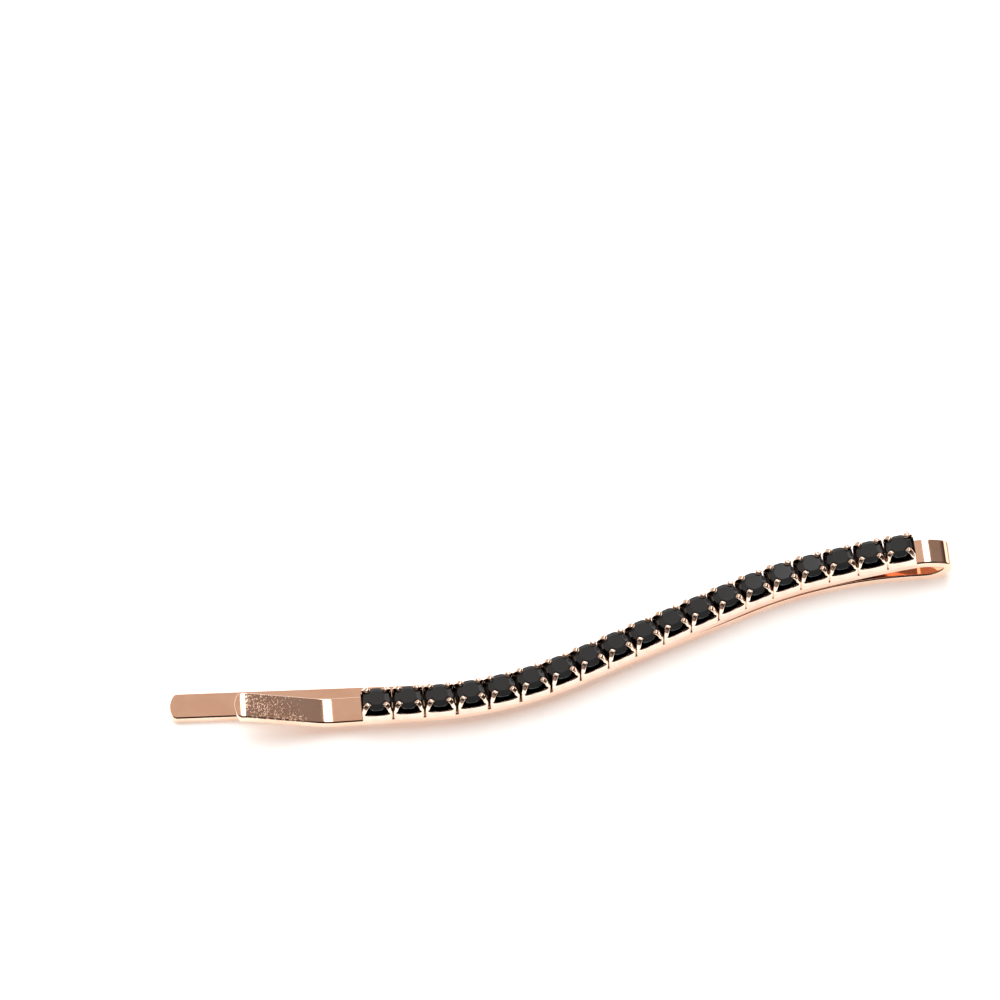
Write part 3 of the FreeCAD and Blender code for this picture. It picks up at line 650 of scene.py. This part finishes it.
def cup_material(name):
    """Bright rose-gold plating of stamped metal, a little uneven, with painted shade in the recess of the
    cup.
    """
    material, tree, shader, coords = start_material(name)
    clouds = add_noise(tree, coords, CUP_CLOUDS)
    colour = add_mix(tree, add_range(tree, clouds, CLOUD_SPAN), CUP_DEEP, CUP_PALE)
    place = add_split(tree, coords)
    aside = add_math(tree, "ABSOLUTE", place["Y"])
    # painted shade: the cup turns dark in its hollow and towards the next cups, where shade falls
    recess = add_range(tree, place["Z"], RECESS_TOP)
    for value, span in ((place["Z"], RECESS_BASE), (aside, RECESS_SIDE)):
        recess = add_math(tree, "MULTIPLY", recess, add_range(tree, value, span))
    grain = add_noise(tree, coords, CUP_GRAIN)
    set_inputs(tree, shader, {
        "Base Color": add_mix(tree, recess, colour, PAINTED_RECESS_SHADE),
        "Metallic": 1,
        "Roughness": add_range(tree, grain, CLOUD_SPAN, CUP_ROUGHNESS),
        "Normal": add_bump(tree, clouds, CUP_BUMP),
    })
    return material


def glass_material(name):
    """Black cut glass with a few specks of dust."""
    material, tree, shader, coords = start_material(name)
    specks = add_range(tree, add_noise(tree, coords, GLASS_SPECKS), SPECK_SPAN)
    smears = add_noise(tree, coords, GLASS_SMEARS)
    set_inputs(tree, shader, {
        "Base Color": add_mix(tree, specks, GLASS_BLACK, GLASS_DUST),
        "Roughness": add_range(tree, smears, CLOUD_SPAN, GLASS_ROUGHNESS),
        "IOR": GLASS_IOR,
        "Specular IOR Level": GLASS_GLOSS,
    })
    return material


def bond_material(name):
    """Cured adhesive, dark in the gap under the chain, with a slightly wavy skin."""
    material, tree, shader, coords = start_material(name)
    waves = add_noise(tree, coords, BOND_WAVES)
    set_inputs(tree, shader, {
        "Base Color": add_mix(tree, waves, BOND_DEEP, BOND_PALE),
        "Roughness": add_range(tree, waves, WAVE_SPAN, BOND_ROUGHNESS),
        "Normal": add_bump(tree, waves, BOND_BUMP),
    })
    return material


# Pieces


def make_piece(name, mesh, material, node):
    """A shown piece that stands for a CAD node."""
    piece = bpy.data.objects.new(name, mesh)
    bpy.context.scene.collection.objects.link(piece)
    # the cups share one mesh, which gets its finish once
    if not mesh.materials:
        mesh.materials.append(material)
    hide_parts(node)
    return piece


def paint_node(node, material):
    """A CAD node shown as it is, with a finish of its own."""
    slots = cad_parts[node].data.materials
    slots.clear()
    slots.append(material)


def build_strip():
    """The two arms and the bow that bends between them."""
    plain = strip_material("rose_gold_strip")
    crease = ZERO.x - CREASE_END
    tip = ZERO.x - UPPER_END - TIP_SAG
    edge = place_upper(UPPER_LENGTH, -HALF_WIDTH, 0).y
    speckled = strip_material("rose_gold_ramp", (crease, tip, edge))
    lower_mesh = arm_mesh("lower_strip", 0, LOWER_LENGTH, place_lower)
    lower = make_piece("lower_strip", lower_mesh, plain, "lower_arm")
    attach(lower, "lower_half")
    upper_mesh = arm_mesh("upper_strip", SLOPE_START, UPPER_LENGTH, place_upper)
    upper = make_piece("upper_strip", upper_mesh, speckled, "upper_arm")
    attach(upper, "upper_half")
    bend = make_piece("bow_strip", bow_mesh("bow_strip"), plain, "bow")
    start = (BOW_LOW.x, ZERO.y, 2 * HALF_THICKNESS)
    end = (BOW_LOW.x, ZERO.y, SLOPE_TOP - BEND_DROP)
    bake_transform(bend, "lower_half", "upper_half", start=start, end=end)


def build_chain():
    """The cups, each on its seat, and the stones, links and bond."""
    metal = cup_material("rose_gold_cup")
    glass = glass_material("black_glass")
    cup = cup_mesh("set_cup")
    for number in range(1, STONE_COUNT + 1):
        node = "cup_%02d" % number
        piece = make_piece("set_" + node, cup, metal, node)
        piece.matrix_world = seat_of(node)
        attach(piece, "upper_half")
        paint_node("stone_%02d" % number, glass)
    paint_node("chain_links", metal)
    paint_node("adhesive_bed", bond_material("clear_bond"))


# Stage

# Camera, at the photograph's viewing angle
CAMERA_PLACE = ZERO + Vector((-59.49, -275.47, 409.6)) * MM
CAMERA_TARGET = ZERO + Vector((-37.61, 10.47, 0)) * MM
CAMERA_LENS = 196.6
CAMERA_SENSOR = 36

# Light of the studio
WHITE = (1, 1, 1, 1)
DIM = (0.3, 0.26, 0.24, 1)
LAMP_PLACE = Vector((-0.1, 0.25, 0.62))
LAMP_SIZE = 0.95
LAMP_POWER = 6.5

# Floor: its paint, the warm shade that the camera sees round the pin, and the painted reflection that the
# metal mirrors
FLOOR_HALF = 3.0
FLOOR_DROP = 0.01 * MM
FLOOR_ROUGHNESS = 0.9
FLOOR_PALE = (0.85, 0.97, 1, 1)
FLOOR_SHADE = (0.4, 0.28, 0.235, 1)
SHADE_SPAN = (60 * MM, 250 * MM)
BEHIND_SPAN = (8 * MM, 14 * MM)
PAINTED_REFLECTION_GLOW = (0.6, 0.2)

# Surroundings, by direction: X to the right, Y to the back and Z up, each from -1 to 1
BACK_SPAN = (0, 0.2)
WALL_LEFT = (0.69, 0.587, 0.513, 1)
WALL_STRETCHES = (
    # where a stretch of the back wall begins, going right, and its light
    ((0.08, 0.1), (3, 3, 3, 1)),
    ((0.24, 0.26), DIM),
    ((0.5, 0.58), (0.08, 0.06, 0.055, 1)),
)
# Low band of the back wall, which is brighter and reaches higher on the right
LOW_LEFT = (1, 0.95, 0.9, 1)
LOW_RIGHT = (2, 1.9, 1.8, 1)
LOW_SPAN = (0.55, 0.65)
LOW_HEIGHT = (0.22, 0.45)
LOW_EDGE = (-0.06, 0.06)
# Front, and where its dim corners begin and are full
FRONT_DARK = (0.03, 0.026, 0.022, 1)
CORNER_ASIDE = (0.3, 0.5)
CORNER_FRONT = (-0.3, -0.45)


def floor_material(name):
    """Pale paint: white to the camera but for the shadow, with a painted reflection in the metal that is
    dimmer behind the pin.
    """
    material, tree, shader, coords = start_material(name)
    rays = tree.nodes.new("ShaderNodeLightPath").outputs
    depth = add_split(tree, coords)["Y"]
    # painted reflection: to glossy rays alone the floor glows, brighter in front of the pin and dim behind
    # it
    behind = add_math(tree, "MULTIPLY", add_range(tree, depth, BEHIND_SPAN), rays["Is Glossy Ray"])
    distance = add_node(tree, "ShaderNodeVectorMath", {0: coords}, operation="LENGTH").outputs["Value"]
    shade = add_mix(tree, add_range(tree, distance, SHADE_SPAN), FLOOR_SHADE, WHITE)
    mirror = add_range(tree, depth, BEHIND_SPAN, PAINTED_REFLECTION_GLOW)
    mirrored = add_math(tree, "MULTIPLY", rays["Is Glossy Ray"], mirror)
    set_inputs(tree, shader, {
        "Base Color": add_mix(tree, behind, FLOOR_PALE, DIM),
        "Roughness": FLOOR_ROUGHNESS,
        "Specular IOR Level": 0,
        "Emission Color": add_mix(tree, rays["Is Camera Ray"], WHITE, shade),
        "Emission Strength": add_math(tree, "MAXIMUM", rays["Is Camera Ray"], mirrored),
    })
    return material


def build_floor():
    """A pale floor that keeps the shadow."""
    mesh = bpy.data.meshes.new("floor")
    corners = [(x * FLOOR_HALF, y * FLOOR_HALF, 0) for x, y in ((-1, -1), (1, -1), (1, 1), (-1, 1))]
    mesh.from_pydata(corners, [], [(0, 1, 2, 3)])
    mesh.materials.append(floor_material("floor"))
    floor = bpy.data.objects.new("floor", mesh)
    floor.location.z = -FLOOR_DROP
    bpy.context.scene.collection.objects.link(floor)


def build_world():
    """Soft studio surroundings: a back wall with one bright panel, and a dark front with dim corners."""
    world = bpy.data.worlds.new("studio")
    bpy.context.scene.world = world
    world.use_nodes = True
    tree = world.node_tree
    direction = add_split(tree, tree.nodes.new("ShaderNodeTexCoord").outputs["Generated"])
    back = WALL_LEFT
    for span, stretch in WALL_STRETCHES:
        back = add_mix(tree, add_range(tree, direction["X"], span), back, stretch)
    low = add_mix(tree, add_range(tree, direction["X"], LOW_SPAN), LOW_LEFT, LOW_RIGHT)
    low_top = add_range(tree, direction["X"], LOW_SPAN, LOW_HEIGHT)
    above_low = add_math(tree, "SUBTRACT", direction["Z"], low_top)
    back = add_mix(tree, add_range(tree, above_low, LOW_EDGE), low, back)
    aside = add_range(tree, add_math(tree, "ABSOLUTE", direction["X"]), CORNER_ASIDE)
    ahead = add_range(tree, direction["Y"], CORNER_FRONT)
    front = add_mix(tree, add_math(tree, "MULTIPLY", aside, ahead), FRONT_DARK, DIM)
    light = add_mix(tree, add_range(tree, direction["Y"], BACK_SPAN), front, back)
    seen = tree.nodes.new("ShaderNodeLightPath").outputs["Is Camera Ray"]
    set_inputs(tree, tree.nodes["Background"], {
        "Color": add_mix(tree, seen, light, WHITE),
        "Strength": 1,
    })


def aim(name, data, place, target):
    """An object at a place, turned towards a target."""
    holder = bpy.data.objects.new(name, data)
    holder.location = place
    holder.rotation_mode = "QUATERNION"
    holder.rotation_quaternion = (target - place).to_track_quat("-Z", "Y")
    bpy.context.scene.collection.objects.link(holder)
    return holder


def build_lamp():
    """A soft lamp behind and to the left, which throws the shadow forward."""
    lamp = bpy.data.lights.new("softbox", "AREA")
    lamp.shape = "SQUARE"
    lamp.size = LAMP_SIZE
    lamp.energy = LAMP_POWER
    aim("softbox", lamp, LAMP_PLACE, Vector((0, 0, 0))).visible_glossy = False


def build_camera():
    """A camera that frames the pin as the photograph does."""
    camera = bpy.data.cameras.new("camera")
    camera.sensor_width = CAMERA_SENSOR
    camera.lens = CAMERA_LENS
    bpy.context.scene.camera = aim("camera", camera, CAMERA_PLACE, CAMERA_TARGET)


build_strip()
build_chain()
build_floor()
build_world()
build_lamp()
build_camera()
bpy.context.scene.view_settings.view_transform = "Standard"
